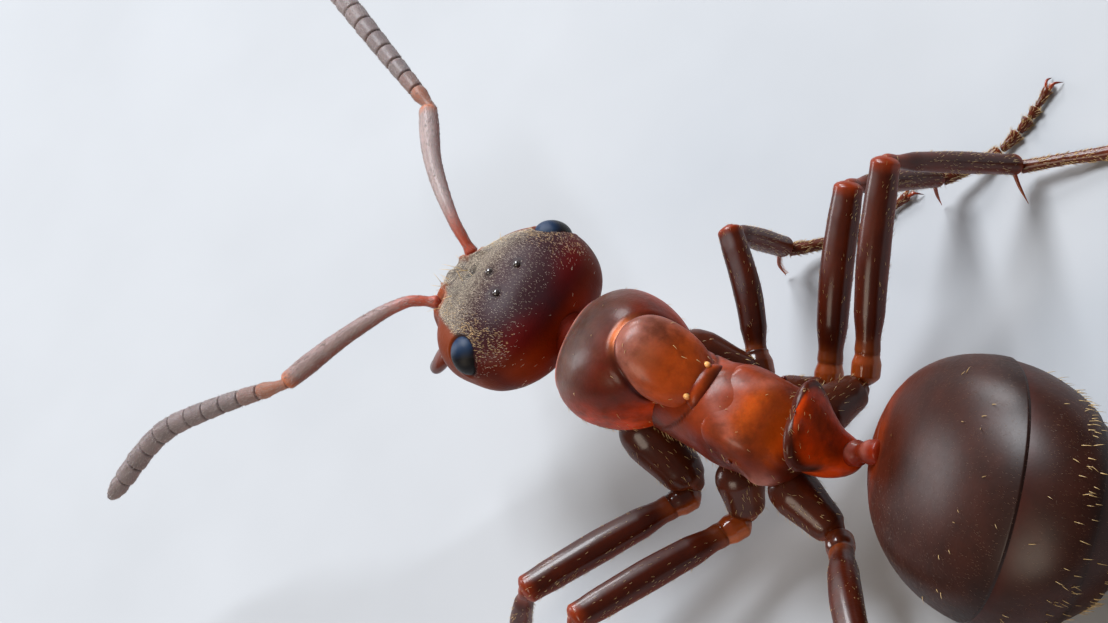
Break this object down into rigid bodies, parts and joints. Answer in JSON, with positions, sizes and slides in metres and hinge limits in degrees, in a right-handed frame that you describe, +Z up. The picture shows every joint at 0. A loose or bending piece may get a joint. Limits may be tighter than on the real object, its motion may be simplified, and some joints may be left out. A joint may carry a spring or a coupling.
{
  "type": "wood ant",
  "caption": "Still, life-size red wood ant worker standing alert on its own feet, with an upright waist scale, elbowed feelers held forward and a large dark gaster.",
  "frame": {"origin": "on the floor, under the middle of the ant's footprint", "axes": "+X is the way the ant looks, +Y its left, +Z up"},
  "size_m": [0.0136, 0.0106, 0.003],
  "materials": {
    "head": "dark brown cuticle, finely pitted, with a dull silvery down",
    "eye": "black, finely faceted, glossy",
    "rust": "orange-red, slightly see-through cuticle with a satin gloss",
    "amber": "amber cuticle, glossy",
    "gaster": "dark brown satin plates with short golden hairs",
    "leg": "glossy dark reddish brown with rows of short golden bristles",
    "feeler": "greyish brown, covered in very short down"
  },
  "bodies": {
    "root": {"head": "head", "eye_left": "eye", "eye_right": "eye", "mesonotum": "rust", "pronotum": "rust", "mesothorax": "rust", "propodeum": "rust", "neck": "rust", "petiole": "rust", "mandible_left": "amber", "mandible_right": "amber", "scape_left": "feeler", "funiculus_left": "feeler", "scape_right": "feeler", "funiculus_right": "feeler", "gaster_1": "gaster", "gaster_2": "gaster", "gaster_3": "gaster", "gaster_4": "gaster", "gaster_5": "gaster", "coxa_fore_left": "leg", "trochanter_fore_left": "amber", "femur_fore_left": "leg", "tibia_fore_left": "leg", "tarsus_fore_left": "leg", "coxa_fore_right": "leg", "trochanter_fore_right": "amber", "femur_fore_right": "leg", "tibia_fore_right": "leg", "tarsus_fore_right": "leg", "coxa_mid_left": "leg", "trochanter_mid_left": "amber", "femur_mid_left": "leg", "tibia_mid_left": "leg", "tarsus_mid_left": "leg", "coxa_mid_right": "leg", "trochanter_mid_right": "amber", "femur_mid_right": "leg", "tibia_mid_right": "leg", "tarsus_mid_right": "leg", "coxa_hind_left": "leg", "trochanter_hind_left": "amber", "femur_hind_left": "leg", "tibia_hind_left": "leg", "tarsus_hind_left": "leg", "coxa_hind_right": "leg", "trochanter_hind_right": "amber", "femur_hind_right": "leg", "tibia_hind_right": "leg", "tarsus_hind_right": "leg"}
  },
  "joints": []
}
